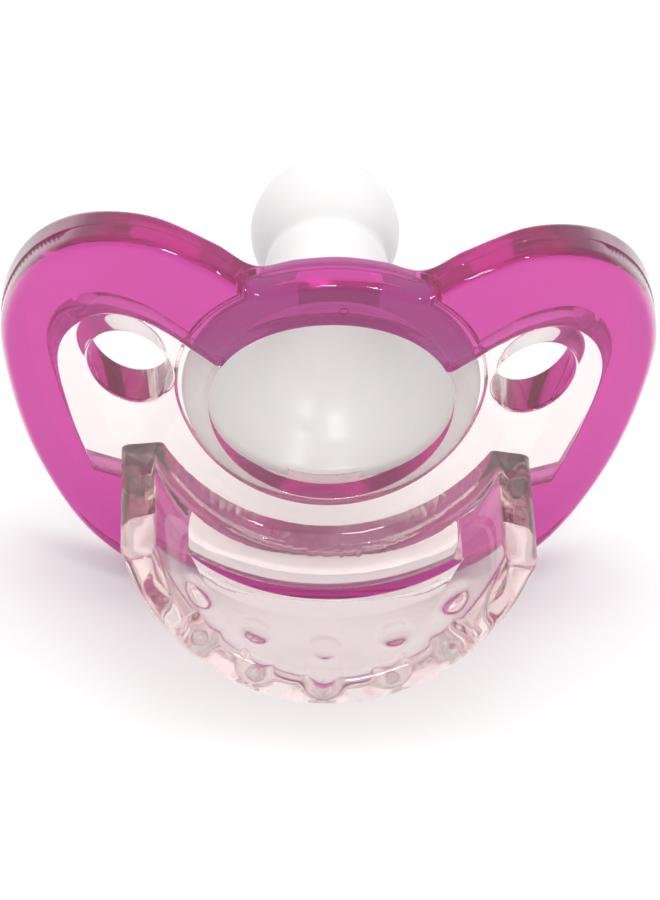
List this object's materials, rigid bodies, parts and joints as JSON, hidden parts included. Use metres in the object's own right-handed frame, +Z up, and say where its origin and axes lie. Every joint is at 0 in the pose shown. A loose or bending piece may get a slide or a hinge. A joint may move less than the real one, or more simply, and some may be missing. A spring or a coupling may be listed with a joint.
{
  "type": "pacifier",
  "caption": "Small pacifier with a winged two-colour shield, air vents, a scoop-shaped strap grip and a hollow silicone nipple open at the front.",
  "frame": {"origin": "on the ground under the middle of the overall box", "axes": "+Z up the shield towards its nose notch, +Y from the shield's front towards the nipple's tip, +X across the shield to its right wing as seen from the front"},
  "size_m": [0.052, 0.0424, 0.0358],
  "materials": {
    "pink_plastic": "translucent pink, polished",
    "clear_plastic": "clear, polished",
    "silicone": "milky translucent silicone, satin"
  },
  "bodies": {
    "shield": {"shield_rim": "pink_plastic", "face_plate": "clear_plastic", "handle": "clear_plastic", "rear_collar": "clear_plastic", "nipple_base": "silicone"},
    "teat": {"nipple_teat": "silicone"}
  },
  "joints": [
    {"name": "nipple_flex", "type": "hinge", "parent": "shield", "child": "teat", "pos_m": [0, 0.00473, 0.0215], "axis": [1, 0, 0], "range_deg": [-20, 20], "stiffness_Nm_per_rad": 0.01}
  ]
}
